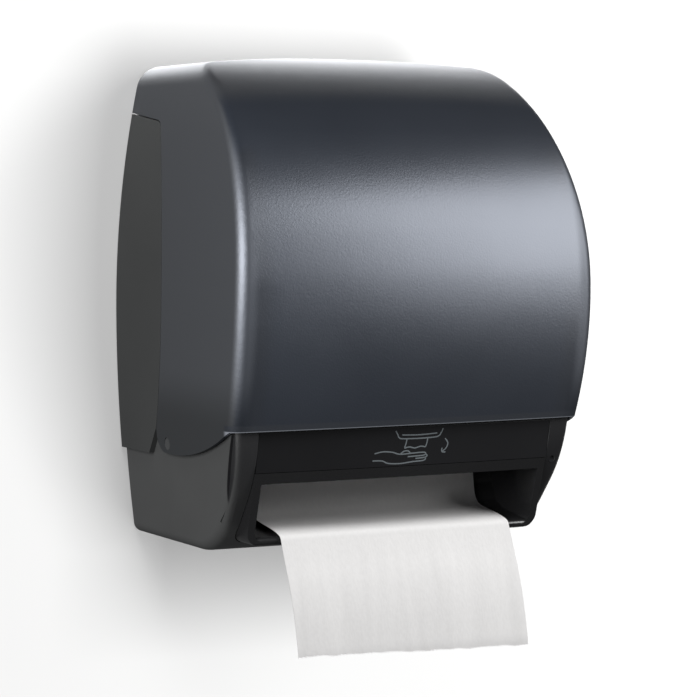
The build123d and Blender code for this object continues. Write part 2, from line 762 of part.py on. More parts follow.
# Feed roller: steel shaft in two bushes, moulded core, three rubber tyres
shaft_end_x = gear_x + gear_width + 1.5
core_half = plate_x - bearing_flange - 1.0
with BuildPart() as feed_shaft:
    with BuildSketch(Plane.YZ.offset(-plate_x - plate_thickness - 3)):
        with Locations((feed_y, feed_z)):
            Circle(feed_shaft_radius)
    extrude(amount=plate_x + plate_thickness + 3 + shaft_end_x)
feed_shaft.part.label = "feed_shaft"
export_step(feed_shaft.part, "parts/feed_shaft.step")

with BuildPart() as feed_roller_core:
    with BuildSketch(Plane.YZ.offset(-core_half)):
        with Locations((feed_y, feed_z)):
            Circle(feed_core_radius)
            Circle(feed_shaft_radius, mode=Mode.SUBTRACT)
    extrude(amount=2 * core_half)
feed_roller_core.part.label = "feed_roller_core"
export_step(feed_roller_core.part, "parts/feed_roller_core.step")

with BuildPart() as feed_tyres:
    for place in (-tyre_pitch, 0, tyre_pitch):
        with BuildSketch(Plane.YZ.offset(place - tyre_length / 2)):
            with Locations((feed_y, feed_z)):
                Circle(feed_radius)
                Circle(feed_core_radius, mode=Mode.SUBTRACT)
        extrude(amount=tyre_length)
feed_tyres.part.label = "feed_tyres"
export_step(feed_tyres.part, "parts/feed_tyres.step")

with BuildPart() as feed_bearings:
    for side in (-1, 1):
        with BuildSketch(Plane.YZ.offset(side * (plate_x - bearing_flange))):
            with Locations((feed_y, feed_z)):
                Circle(bearing_radius + 1.5)
                Circle(feed_shaft_radius + running_clearance, mode=Mode.SUBTRACT)
        extrude(amount=side * bearing_flange)
        with BuildSketch(Plane.YZ.offset(side * plate_x)):
            with Locations((feed_y, feed_z)):
                Circle(bearing_radius)
                Circle(feed_shaft_radius + running_clearance, mode=Mode.SUBTRACT)
        extrude(amount=side * plate_thickness)
feed_bearings.part.label = "feed_bearings"
export_step(feed_bearings.part, "parts/feed_bearings.step")

# Gear train: drive gear on the feed shaft, idler on a stud, pinion on the motor
idler_phase = idler_angle + 180 + 180 / idler_teeth
idler_offset = (motor_angle - idler_phase) % (360 / idler_teeth)
pinion_phase = motor_angle + 180 + idler_offset * idler_teeth / pinion_teeth + 180 / pinion_teeth
stud_radius = 2.0

with BuildPart() as drive_gear:
    extrude(gear_disc(drive_teeth, idler_angle, feed_y, feed_z, feed_shaft_radius), amount=gear_width)
    with BuildSketch(Plane.YZ.offset(gear_x)):
        with Locations((feed_y, feed_z)):
            with PolarLocations(13.0, 6):
                Circle(4, mode=Mode.ADD)
    extrude(amount=gear_width, mode=Mode.SUBTRACT)
drive_gear.part.label = "drive_gear"
export_step(drive_gear.part, "parts/drive_gear.step")

with BuildPart() as idler_gear:
    idler_bore = stud_radius + running_clearance
    extrude(gear_disc(idler_teeth, idler_phase, idler_y, idler_z, idler_bore), amount=gear_width)
idler_gear.part.label = "idler_gear"
export_step(idler_gear.part, "parts/idler_gear.step")

with BuildPart() as idler_stud:
    with BuildSketch(Plane.YZ.offset(plate_x)):
        with Locations((idler_y, idler_z)):
            Circle(stud_radius)
    extrude(amount=gear_x + gear_width + 1.5 - plate_x)
    with BuildSketch(Plane.YZ.offset(plate_x + plate_thickness)):
        with Locations((idler_y, idler_z)):
            Circle(stud_radius + 2)
    extrude(amount=gear_x - plate_x - plate_thickness - 0.3)
    with BuildSketch(Plane.YZ.offset(gear_x + gear_width + 0.3)):
        with Locations((idler_y, idler_z)):
            Circle(stud_radius + 1.5)
    extrude(amount=1.2)
idler_stud.part.label = "idler_stud"
export_step(idler_stud.part, "parts/idler_stud.step")

motor_shaft_radius = 1.5
with BuildPart() as motor_pinion:
    extrude(gear_disc(pinion_teeth, pinion_phase, motor_y, motor_z, motor_shaft_radius), amount=gear_width)
motor_pinion.part.label = "motor_pinion"
export_step(motor_pinion.part, "parts/motor_pinion.step")

with BuildPart() as motor_shaft:
    with BuildSketch(Plane.YZ.offset(plate_x - 4)):
        with Locations((motor_y, motor_z)):
            Circle(motor_shaft_radius)
    extrude(amount=gear_x + gear_width + 1 - plate_x + 4)
motor_shaft.part.label = "motor_shaft"
export_step(motor_shaft.part, "parts/motor_shaft.step")

# Gear motor: reduction gearbox screwed to the plate's inner face, motor can behind it
gearbox_radius = 16.0
gearbox_length = 20.0
can_radius = 13.0
can_length = 30.0
with BuildPart() as gearbox:
    with BuildSketch(Plane.YZ.offset(plate_x)):
        with Locations((motor_y, motor_z)):
            Circle(gearbox_radius)
    extrude(amount=-gearbox_length)
    with BuildSketch(Plane.YZ.offset(plate_x)):
        with Locations((motor_y, motor_z)):
            Circle(motor_shaft_radius + running_clearance)
    extrude(amount=-4.5, mode=Mode.SUBTRACT)
    with BuildSketch(Plane.YZ.offset(plate_x)):
        with Locations((motor_y, motor_z)):
            Circle(3.8)
            Circle(motor_shaft_radius + running_clearance, mode=Mode.SUBTRACT)
    extrude(amount=plate_thickness)
gearbox.part.label = "gearbox"
export_step(gearbox.part, "parts/gearbox.step")

with BuildPart() as drive_motor:
    with BuildSketch(Plane.YZ.offset(plate_x - gearbox_length)):
        with Locations((motor_y, motor_z)):
            Circle(can_radius)
    extrude(amount=-can_length)
    fillet(drive_motor.edges().group_by(Axis.X)[0], 2)
    with BuildSketch(Plane.YZ.offset(plate_x - gearbox_length - can_length)):
        with Locations((motor_y, motor_z)):
            Circle(4)
    extrude(amount=-3)
drive_motor.part.label = "drive_motor"
export_step(drive_motor.part, "parts/drive_motor.step")

# Pinch roller on a swinging carrier, hung on two pivot pins in the plates
carrier_arm_x = 106.0
carrier_arm = 4.0
carrier_bar_z = pivot_z
with BuildPart() as pinch_carrier:
    for side in (-1, 1):
        with BuildSketch(Plane.YZ.offset(side * carrier_arm_x)):
            with Locations((pivot_y, pivot_z), (pinch_y, pinch_z)):
                Circle(5.5)
            make_hull()
            with Locations((pinch_y, pinch_z)):
                Circle(pinch_shaft_radius + running_clearance, mode=Mode.SUBTRACT)
            with Locations((pivot_y, pivot_z)):
                Circle(pivot_radius + running_clearance, mode=Mode.SUBTRACT)
        extrude(amount=side * carrier_arm)
    with BuildSketch(Plane.YZ.offset(-carrier_arm_x)):
        with Locations((pivot_y - 4.5, pivot_z - 1.0)):
            Rectangle(3.0, 7.0)
    extrude(amount=2 * carrier_arm_x)
pinch_carrier.part.label = "pinch_carrier"
export_step(pinch_carrier.part, "parts/pinch_carrier.step")

with BuildPart() as pinch_pivots:
    for side in (-1, 1):
        with BuildSketch(Plane.YZ.offset(side * (carrier_arm_x - 1))):
            with Locations((pivot_y, pivot_z)):
                Circle(pivot_radius)
        extrude(amount=side * (plate_x + plate_thickness + 1 - carrier_arm_x))
pinch_pivots.part.label = "pinch_pivots"
export_step(pinch_pivots.part, "parts/pinch_pivots.step")

with BuildPart() as pinch_shaft:
    with BuildSketch(Plane.YZ.offset(-carrier_arm_x - carrier_arm - 1)):
        with Locations((pinch_y, pinch_z)):
            Circle(pinch_shaft_radius)
    extrude(amount=2 * (carrier_arm_x + carrier_arm + 1))
pinch_shaft.part.label = "pinch_shaft"
export_step(pinch_shaft.part, "parts/pinch_shaft.step")

with BuildPart() as pinch_tyres:
    for place in (-tyre_pitch, 0, tyre_pitch):
        with BuildSketch(Plane.YZ.offset(place - tyre_length / 2)):
            with Locations((pinch_y, pinch_z)):
                Circle(pinch_radius)
                Circle(pinch_shaft_radius, mode=Mode.SUBTRACT)
        extrude(amount=tyre_length)
pinch_tyres.part.label = "pinch_tyres"
export_step(pinch_tyres.part, "parts/pinch_tyres.step")

# Pinch springs: small coils round the pivot pins, which press the pinch roller home
spring_wire = 0.45
spring_turns = 5
spring_pitch = 1.35
with BuildPart() as pinch_springs:
    for side in (-1, 1):
        coil = Helix(
            pitch=spring_pitch, height=spring_turns * spring_pitch, radius=pivot_radius + 0.1 + spring_wire,
            center=(side * (plate_x - 4.2) - spring_turns * spring_pitch / 2, pivot_y, pivot_z),
            direction=(1, 0, 0), mode=Mode.PRIVATE,
        )
        with BuildSketch(Plane(origin=coil @ 0, z_dir=coil % 0)):
            Circle(spring_wire)
        sweep(path=coil, is_frenet=True)
pinch_springs.part.label = "pinch_springs"
export_step(pinch_springs.part, "parts/pinch_springs.step")
print("pinch spring least gap", spring_pitch - 2 * spring_wire)

# Tear bar: serrated strip across the outlet's ceiling
tooth_width = 3.0
tooth_count = 70
tear_root_z = -141.5
tear_tip_z = -144.0
tear_bar_thickness = 1.0
with BuildPart() as tear_bar:
    with BuildSketch(Plane.XZ.offset(-tear_bar_y - tear_bar_thickness)):
        with BuildLine():
            half_bar = tooth_count * tooth_width / 2
            teeth = [(-half_bar, frame_top_z)]
            for index in range(tooth_count):
                left = -half_bar + index * tooth_width
                teeth += [(left, tear_root_z), (left + tooth_width / 2, tear_tip_z)]
            teeth += [(half_bar, tear_root_z), (half_bar, frame_top_z)]
            Polyline(*teeth, close=True)
        make_face()
    extrude(amount=tear_bar_thickness)
tear_bar.part.label = "tear_bar"
export_step(tear_bar.part, "parts/tear_bar.step")

# Towel sensor: small block with a lens, in the outlet's ceiling
with BuildPart() as towel_sensor:
    with BuildSketch(Plane.XY.offset(outlet_top_z)):
        with Locations((60, -182)):
            RectangleRounded(14, 8, 1.5)
    extrude(amount=-2.2)
towel_sensor.part.label = "towel_sensor"
export_step(towel_sensor.part, "parts/towel_sensor.step")

# Battery tray along the bottom, four cells in line, contacts at each end
cell_radius = 16.5
cell_length = 60.0
cell_count = 4
tray_wall = 2.0
tray_half = cell_count * cell_length / 2 + 7
tray_y = (-46.0, -6.0)
tray_top_z = -158.0
cell_y = sum(tray_y) / 2
cell_z = inner_bottom_z + tray_wall + cell_radius + 0.2
with BuildPart() as battery_tray:
    with BuildSketch(Plane.XY.offset(inner_bottom_z)):
        with Locations((0, cell_y)):
            Rectangle(2 * tray_half, tray_y[1] - tray_y[0])
    extrude(amount=tray_top_z - inner_bottom_z)
    with BuildSketch(Plane.XY.offset(inner_bottom_z + tray_wall)):
        with Locations((0, cell_y)):
            Rectangle(2 * (tray_half - tray_wall), tray_y[1] - tray_y[0] - 2 * tray_wall)
    extrude(amount=tray_top_z - inner_bottom_z, mode=Mode.SUBTRACT)
battery_tray.part.label = "battery_tray"
export_step(battery_tray.part, "parts/battery_tray.step")

with BuildPart() as battery_cells:
    for index in range(cell_count):
        cell_x = (index - cell_count / 2) * cell_length
        with BuildSketch(Plane.YZ.offset(cell_x + 0.2)):
            with Locations((cell_y, cell_z)):
                Circle(cell_radius)
        extrude(amount=cell_length - 2.4)
        with BuildSketch(Plane.YZ.offset(cell_x + cell_length - 2.2)):
            with Locations((cell_y, cell_z)):
                Circle(4.5)
        extrude(amount=1.8)
battery_cells.part.label = "battery_cells"
export_step(battery_cells.part, "parts/battery_cells.step")

contact_gap = tray_half - tray_wall - cell_count * cell_length / 2
with BuildPart() as battery_contacts:
    for side in (-1, 1):
        with BuildSketch(Plane.YZ.offset(side * (tray_half - tray_wall))):
            with Locations((cell_y, cell_z)):
                Rectangle(18, 22)
        extrude(amount=-side * 0.6)
        with BuildSketch(Plane.YZ.offset(side * (tray_half - tray_wall - 0.6))):
            with Locations((cell_y, cell_z)):
                Circle(6)
                Circle(4.6, mode=Mode.SUBTRACT)
        extrude(amount=-side * (contact_gap - 0.9), taper=12)
battery_contacts.part.label = "battery_contacts"
export_step(battery_contacts.part, "parts/battery_contacts.step")

# Battery lid: hinged on a pin along the tray's rear edge
lid_pin_radius = 1.2
knuckle_radius = 2.6
lid_pin_y = tray_y[1] - knuckle_radius + 2.2
lid_pin_z = tray_top_z + knuckle_radius + 0.3
ear_x = tray_half - 4.0
with BuildPart() as battery_lid:
    with BuildSketch(Plane.XY.offset(tray_top_z + 0.3)):
        with Locations((0, (tray_y[0] + lid_pin_y) / 2)):
            Rectangle(2 * (ear_x - 4), lid_pin_y - tray_y[0])
    extrude(amount=2.0)
    with BuildSketch(Plane.YZ.offset(-ear_x + 4)):
        with Locations((lid_pin_y, lid_pin_z)):
            Circle(knuckle_radius)
    extrude(amount=2 * (ear_x - 4))
    with BuildSketch(Plane.YZ.offset(-ear_x)):
        with Locations((lid_pin_y, lid_pin_z)):
            Circle(lid_pin_radius + running_clearance)
    extrude(amount=2 * ear_x, mode=Mode.SUBTRACT)
battery_lid.part.label = "battery_lid"
export_step(battery_lid.part, "parts/battery_lid.step")

with BuildPart() as battery_lid_pin:
    with BuildSketch(Plane.YZ.offset(-ear_x - 2)):
        with Locations((lid_pin_y, lid_pin_z)):
            Circle(lid_pin_radius)
    extrude(amount=2 * ear_x + 4)
    for side in (-1, 1):
        with BuildSketch(Plane.YZ.offset(side * (ear_x - 3))):
            with Locations((lid_pin_y, (lid_pin_z + tray_top_z) / 2)):
                Rectangle(4.0, lid_pin_z - tray_top_z)
            with Locations((lid_pin_y, lid_pin_z)):
                Circle(2.0)
        extrude(amount=side * 3)
battery_lid_pin.part.label = "battery_lid_pin"
export_step(battery_lid_pin.part, "parts/battery_lid_pin.step")

# Roll arms: the left one is fixed to the back plate, the right one swings out to load a roll
arm_x = towel_width / 2 + 7.4
arm_thickness = 3.5
arm_hub_radius = 24.0
arm_foot = 60.0
spigot_length = arm_x - towel_width / 2 + 8.0
spigot_base_radius = core_radius - core_wall - 0.3
spigot_tip_radius = spigot_base_radius - 1.5
arm_pivot_x = arm_x + arm_thickness / 2
arm_pivot_y = -10.0
arm_barrel_radius = 5.0
arm_pin_radius = 2.0


def arm_sketch(rear_y):
    with BuildSketch(Plane.YZ) as outline:
        with Locations((roll_y, roll_z)):
            Circle(arm_hub_radius)
        with Locations((rear_y - 2, roll_z)):
            Rectangle(4, arm_foot)
        make_hull()
    return outline.sketch_local


with BuildPart() as roll_arm_left:
    with BuildSketch(Plane.YZ.offset(-arm_x)):
        add(arm_sketch(-housing_wall))
        with Locations((roll_y + 55, roll_z)):
            SlotOverall(50, 22, mode=Mode.SUBTRACT)
    extrude(amount=-arm_thickness)
    with BuildSketch(Plane.XZ.offset(housing_wall)):
        with Locations((-arm_x - 11, roll_z)):
            RectangleRounded(22, arm_foot, 3)
        with Locations((-arm_x - 14, roll_z - 20), (-arm_x - 14, roll_z + 20)):
            Circle(2.2, mode=Mode.SUBTRACT)
    extrude(amount=arm_thickness)
roll_arm_left.part.label = "roll_arm_left"
export_step(roll_arm_left.part, "parts/roll_arm_left.step")

with BuildPart() as roll_arm_right:
    with BuildSketch(Plane.YZ.offset(arm_x)):
        add(arm_sketch(arm_pivot_y))
        with Locations((roll_y + 55, roll_z)):
            SlotOverall(50, 22, mode=Mode.SUBTRACT)
    extrude(amount=arm_thickness)
    with BuildSketch(Plane.XY.offset(roll_z - arm_foot / 2)):
        with Locations((arm_pivot_x, arm_pivot_y)):
            Circle(arm_barrel_radius)
    extrude(amount=arm_foot)
    with BuildSketch(Plane.XY.offset(roll_z - arm_foot / 2)):
        with Locations((arm_pivot_x, arm_pivot_y)):
            Circle(arm_pin_radius + running_clearance)
    extrude(amount=arm_foot, mode=Mode.SUBTRACT)
roll_arm_right.part.label = "roll_arm_right"
export_step(roll_arm_right.part, "parts/roll_arm_right.step")

with BuildPart() as arm_bracket:
    with BuildSketch(Plane.XZ.offset(housing_wall)):
        with Locations((arm_pivot_x, roll_z)):
            RectangleRounded(16, arm_foot + 24, 3)
    extrude(amount=1.6)
    for side in (-1, 1):
        ear_z = roll_z + side * (arm_foot / 2 + 0.4)
        with BuildSketch(Plane.XY.offset(ear_z)):
            with Locations((arm_pivot_x, (arm_pivot_y - housing_wall) / 2)):
                Rectangle(10, -arm_pivot_y - housing_wall)
            with Locations((arm_pivot_x, arm_pivot_y)):
                Circle(5)
                Circle(arm_pin_radius, mode=Mode.SUBTRACT)
        extrude(amount=side * 3)
arm_bracket.part.label = "arm_bracket"
export_step(arm_bracket.part, "parts/arm_bracket.step")

with BuildPart() as arm_pin:
    with BuildSketch(Plane.XY.offset(roll_z - arm_foot / 2 - 5)):
        with Locations((arm_pivot_x, arm_pivot_y)):
            Circle(arm_pin_radius)
    extrude(amount=arm_foot + 10)
    with BuildSketch(Plane.XY.offset(roll_z + arm_foot / 2 + 3.6)):
        with Locations((arm_pivot_x, arm_pivot_y)):
            Circle(arm_pin_radius + 1.5)
    extrude(amount=1.6)
arm_pin.part.label = "arm_pin"
export_step(arm_pin.part, "parts/arm_pin.step")

# Roll hubs: tapered spigots that the core turns on
for side, side_name in ((-1, "left"), (1, "right")):
    with BuildPart() as roll_hub:
        with BuildSketch(Plane.YZ.offset(side * arm_x)):
            with Locations((roll_y, roll_z)):
                Circle(arm_hub_radius - 1)
        extrude(amount=-side * 3.0)
        with BuildSketch(Plane.YZ.offset(side * (arm_x - 3))):
            with Locations((roll_y, roll_z)):
                Circle(spigot_base_radius)
        with BuildSketch(Plane.YZ.offset(side * towel_width / 2)):
            with Locations((roll_y, roll_z)):
                Circle(spigot_base_radius)
        loft()
        with BuildSketch(Plane.YZ.offset(side * towel_width / 2)):
            with Locations((roll_y, roll_z)):
                Circle(spigot_base_radius)
        with BuildSketch(Plane.YZ.offset(side * (arm_x - spigot_length))):
            with Locations((roll_y, roll_z)):
                Circle(spigot_tip_radius)
        loft()
    roll_hub.part.label = f"roll_hub_{side_name}"
    export_step(roll_hub.part, f"parts/roll_hub_{side_name}.step")

# Towel roll on its paper core
with BuildPart() as towel_roll:
    with BuildSketch(Plane.YZ.offset(-towel_width / 2)):
        with Locations((roll_y, roll_z)):
            Circle(roll_radius)
            Circle(core_radius, mode=Mode.SUBTRACT)
    extrude(amount=towel_width)
towel_roll.part.label = "towel_roll"
export_step(towel_roll.part, "parts/towel_roll.step")

with BuildPart() as roll_core:
    with BuildSketch(Plane.YZ.offset(-towel_width / 2)):
        with Locations((roll_y, roll_z)):
            Circle(core_radius)
            Circle(core_radius - core_wall, mode=Mode.SUBTRACT)
    extrude(amount=towel_width)
roll_core.part.label = "roll_core"
export_step(roll_core.part, "parts/roll_core.step")

# Towel web: off the front of the roll, round the pinch roller, through the nip, into the chute
web_half = towel_thickness / 2
roll_wrap = roll_radius + 0.3 + web_half
pinch_wrap = pinch_radius + 0.3 + web_half
centre_y = pinch_y - roll_y
centre_z = pinch_z - roll_z
centre_distance = sqrt(centre_y**2 + centre_z**2)
tangent_turn = acos((roll_wrap + pinch_wrap) / centre_distance)
tangent_angle = atan2(centre_z, centre_y) - tangent_turn
web_start = (roll_y + roll_wrap * cos(tangent_angle), roll_z + roll_wrap * sin(tangent_angle))
web_pinch = (pinch_y - pinch_wrap * cos(tangent_angle), pinch_z - pinch_wrap * sin(tangent_angle))
nip_turn = radians(pinch_angle - 180)
nip_point = (pinch_y + pinch_wrap * cos(nip_turn), pinch_z + pinch_wrap * sin(nip_turn))
wrap_start_angle = atan2(web_pinch[1] - pinch_z, web_pinch[0] - pinch_y)
wrap_middle = (wrap_start_angle + nip_turn) / 2
web_wrap = (pinch_y + pinch_wrap * cos(wrap_middle), pinch_z + pinch_wrap * sin(wrap_middle))
chute_entry = (-135.6, -160.0)
chute_bend = (-139.2, -171.2)
split_point = (-147.0, -176.0)

with BuildPart() as towel_web:
    with BuildSketch(Plane.YZ):
        with BuildLine() as web_line:
            Line(web_start, web_pinch)
            ThreePointArc(web_pinch, web_wrap, nip_point)
            Line(nip_point, chute_entry)
            ThreePointArc(chute_entry, chute_bend, split_point)
        trace(line_width=towel_thickness)
    extrude(amount=towel_width / 2, both=True)
towel_web.part.label = "towel_web"
export_step(towel_web.part, "parts/towel_web.step")

# Towel tail: slides over the lip and hangs in front of it
tail_points = [
    (-147.25, -176.0), (-158.0, -177.8), (-168.0, -179.2), (-178.0, -180.9),
    (lip_y - 0.6, lip_z + 4.4), (lip_y - 3.6, lip_z + 2.3), (lip_y - 5.6, lip_z - 2.0),
    (-197.0, -202.0), (-206.0, -222.0), (-213.0, -243.0), (-218.5, -266.0), (-219.8, -274.0),
]
with BuildPart() as towel_tail:
    with BuildSketch(Plane.YZ):
        with BuildLine():
            Spline(*tail_points)
        trace(line_width=towel_thickness)
    extrude(amount=towel_width / 2, both=True)
towel_tail.part.label = "towel_tail"
export_step(towel_tail.part, "parts/towel_tail.step")

# Cover switch: body on the back plate, plunger just under the cover's roof
switch_x = 52.0
switch_y = -11.0
plunger_travel = 2.5
plunger_top_z = crown_height(switch_x, cover_wall) - 2.0
with BuildPart() as cover_switch:
    with BuildSketch(Plane.XY.offset(150)):
        with Locations((switch_x, (-housing_wall - 18) / 2)):
            Rectangle(20, 18 - housing_wall)
    extrude(amount=24)
    with BuildSketch(Plane.XY.offset(160)):
        with Locations((switch_x, switch_y)):
            Rectangle(6.2, 4.2)
    extrude(amount=20, mode=Mode.SUBTRACT)
cover_switch.part.label = "cover_switch"
export_step(cover_switch.part, "parts/cover_switch.step")

with BuildPart() as switch_plunger:
    with BuildSketch(Plane.XY.offset(160 + plunger_travel + 0.3)):
        with Locations((switch_x, switch_y)):
            Rectangle(6.0, 4.0)
    extrude(amount=plunger_top_z - 160 - plunger_travel - 0.3)
    fillet(switch_plunger.edges().group_by(Axis.Z)[-1], 0.8)
switch_plunger.part.label = "switch_plunger"
export_step(switch_plunger.part, "parts/switch_plunger.step")

# Screws: lid to plates, arm foot to back plate, plate feet to bottom pan
with BuildPart() as lid_screws:
    for side in (-1, 1):
        for place in lid_screw_y:
            spot = (side * (plate_x + plate_thickness / 2), place, plate_top_z + lid_thickness)
            add(screw(Plane(origin=spot, z_dir=(0, 0, 1)), 2.6, lid_screw_radius, lid_thickness + 4))
lid_screws.part.label = "lid_screws"
export_step(lid_screws.part, "parts/lid_screws.step")

with BuildPart() as arm_screws:
    for height in (roll_z - 20, roll_z + 20):
        spot = (-arm_x - 14, -housing_wall - arm_thickness, height)
        add(screw(Plane(origin=spot, z_dir=(0, -1, 0)), 3.6, 2.0, arm_thickness))
arm_screws.part.label = "arm_screws"
export_step(arm_screws.part, "parts/arm_screws.step")
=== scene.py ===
from math import cos, pi, radians, sin, sqrt

import bmesh
import bpy
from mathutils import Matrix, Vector, noise


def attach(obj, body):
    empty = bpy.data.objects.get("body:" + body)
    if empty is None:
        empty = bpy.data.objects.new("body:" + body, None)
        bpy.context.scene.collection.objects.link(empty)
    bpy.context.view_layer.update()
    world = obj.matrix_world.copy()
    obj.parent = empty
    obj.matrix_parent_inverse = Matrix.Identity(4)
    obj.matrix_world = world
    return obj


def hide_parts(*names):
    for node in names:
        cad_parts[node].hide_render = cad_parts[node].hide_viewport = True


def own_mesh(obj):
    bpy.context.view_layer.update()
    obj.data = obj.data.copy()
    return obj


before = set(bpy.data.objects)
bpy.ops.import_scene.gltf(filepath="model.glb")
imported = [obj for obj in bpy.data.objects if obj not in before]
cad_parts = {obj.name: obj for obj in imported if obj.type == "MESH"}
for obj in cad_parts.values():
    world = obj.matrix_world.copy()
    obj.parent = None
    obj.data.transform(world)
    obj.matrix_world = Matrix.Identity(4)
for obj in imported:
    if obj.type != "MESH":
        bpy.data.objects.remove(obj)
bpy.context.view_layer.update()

# The photograph: a long lens, level with the upper half of the dispenser and well round to its left.
# The camera stands 2 m from the wall, and its aim keeps the towel's end in the frame.
scene = bpy.context.scene
camera_spot = Vector((-0.97926, -1.95322, 0.08364))
camera_target = Vector((0.0008, -0.110, -0.0477))
lens = bpy.data.cameras.new("photo_lens")
lens.lens = 133.7
lens.sensor_width = 36.0
lens.clip_end = 30
camera = bpy.data.objects.new("photo_camera", lens)
camera.location = camera_spot
camera.rotation_euler = (camera_target - camera_spot).to_track_quat("-Z", "Y").to_euler()
scene.collection.objects.link(camera)
scene.camera = camera
scene.view_settings.view_transform = "Standard"


# Studio: large softboxes, each placed by its azimuth and elevation as seen from the dispenser.
# The cover's broad highlight is the reflection of the widest one, and the room round it is dim.
def softbox(name, azimuth, elevation, distance, width, height, watts, aim=(0, -0.12, 0.0)):
    lamp = bpy.data.lights.new(name, "AREA")
    lamp.shape = "RECTANGLE"
    lamp.size = width
    lamp.size_y = height
    lamp.energy = watts
    stand = bpy.data.objects.new(name, lamp)
    a, e = radians(azimuth), radians(elevation)
    stand.location = Vector(aim) + distance * Vector((sin(a) * cos(e), -cos(a) * cos(e), sin(e)))
    stand.rotation_euler = (Vector(aim) - stand.location).to_track_quat("-Z", "Y").to_euler()
    scene.collection.objects.link(stand)
    return stand


key_softbox = softbox("key_softbox", 54, 22, 2.3, 1.4, 1.2, 44)
overhead = softbox("overhead", -30, 52, 2.0, 1.0, 0.8, 28)
softbox("back_light", 160, 24, 2.5, 2.2, 1.1, 70)
cover_softbox = softbox("cover_softbox", 46, 18, 2.3, 1.7, 1.9, 42)
edge_strip = softbox("edge_strip", -60, 12, 2.0, 1.5, 1.1, 62)
wall_light = softbox("wall_light", 13, -9, 3.0, 1.3, 1.3, 165)

world = bpy.data.worlds.new("studio")
scene.world = world
world.use_nodes = True
sky = world.node_tree.nodes
sky_links = world.node_tree.links
sky.clear()
ray = sky.new("ShaderNodeLightPath")
seen = sky.new("ShaderNodeBackground")
seen.inputs["Color"].default_value = (1, 1, 1, 1)
seen.inputs["Strength"].default_value = 1.0
dim = sky.new("ShaderNodeBackground")
dim.inputs["Color"].default_value = (0.97, 0.98, 1.0, 1)
dim.inputs["Strength"].default_value = 0.10
pick = sky.new("ShaderNodeMixShader")
sky_out = sky.new("ShaderNodeOutputWorld")
straight = sky.new("ShaderNodeMath")
straight.operation = "MAXIMUM"
sky_links.new(ray.outputs["Is Camera Ray"], straight.inputs[0])
sky_links.new(ray.outputs["Is Transmission Ray"], straight.inputs[1])
sky_links.new(straight.outputs[0], pick.inputs["Fac"])
sky_links.new(dim.outputs[0], pick.inputs[1])
sky_links.new(seen.outputs[0], pick.inputs[2])
sky_links.new(pick.outputs[0], sky_out.inputs["Surface"])

# Wall: matt white, lit softly from the right, so a faint shadow lies on the dispenser's left.
# It adds nothing to the other surfaces' light, and from behind it is clear, so the back can be seen.
wall_paint = bpy.data.materials.new("wall_paint")
wall_paint.use_nodes = True
paint = wall_paint.node_tree.nodes
paint_links = wall_paint.node_tree.links
paint.clear()
wall_ray = paint.new("ShaderNodeLightPath")
wall_side = paint.new("ShaderNodeNewGeometry")
painted = paint.new("ShaderNodeBsdfDiffuse")
painted.inputs["Color"].default_value = (0.30, 0.30, 0.298, 1)
glow = paint.new("ShaderNodeEmission")
glow.inputs["Strength"].default_value = 0.36
both = paint.new("ShaderNodeAddShader")
clear = paint.new("ShaderNodeBsdfTransparent")
front_only = paint.new("ShaderNodeMath")
front_only.operation = "SUBTRACT"
front_only.use_clamp = True
wall_pick = paint.new("ShaderNodeMixShader")
wall_out = paint.new("ShaderNodeOutputMaterial")
paint_links.new(painted.outputs[0], both.inputs[0])
paint_links.new(glow.outputs[0], both.inputs[1])
paint_links.new(wall_ray.outputs["Is Camera Ray"], front_only.inputs[0])
paint_links.new(wall_side.outputs["Backfacing"], front_only.inputs[1])
paint_links.new(front_only.outputs[0], wall_pick.inputs["Fac"])
paint_links.new(clear.outputs[0], wall_pick.inputs[1])
paint_links.new(both.outputs[0], wall_pick.inputs[2])
paint_links.new(wall_pick.outputs[0], wall_out.inputs["Surface"])
wall_y = 0.0012
wall_mesh = bpy.data.meshes.new("wall")
wall_corners = [(-6, wall_y, -3), (6, wall_y, -3), (6, wall_y, 5), (-6, wall_y, 5)]
wall_mesh.from_pydata(wall_corners, [], [(0, 1, 2, 3)])
wall_mesh.materials.append(wall_paint)
wall = bpy.data.objects.new("wall", wall_mesh)
scene.collection.objects.link(wall)


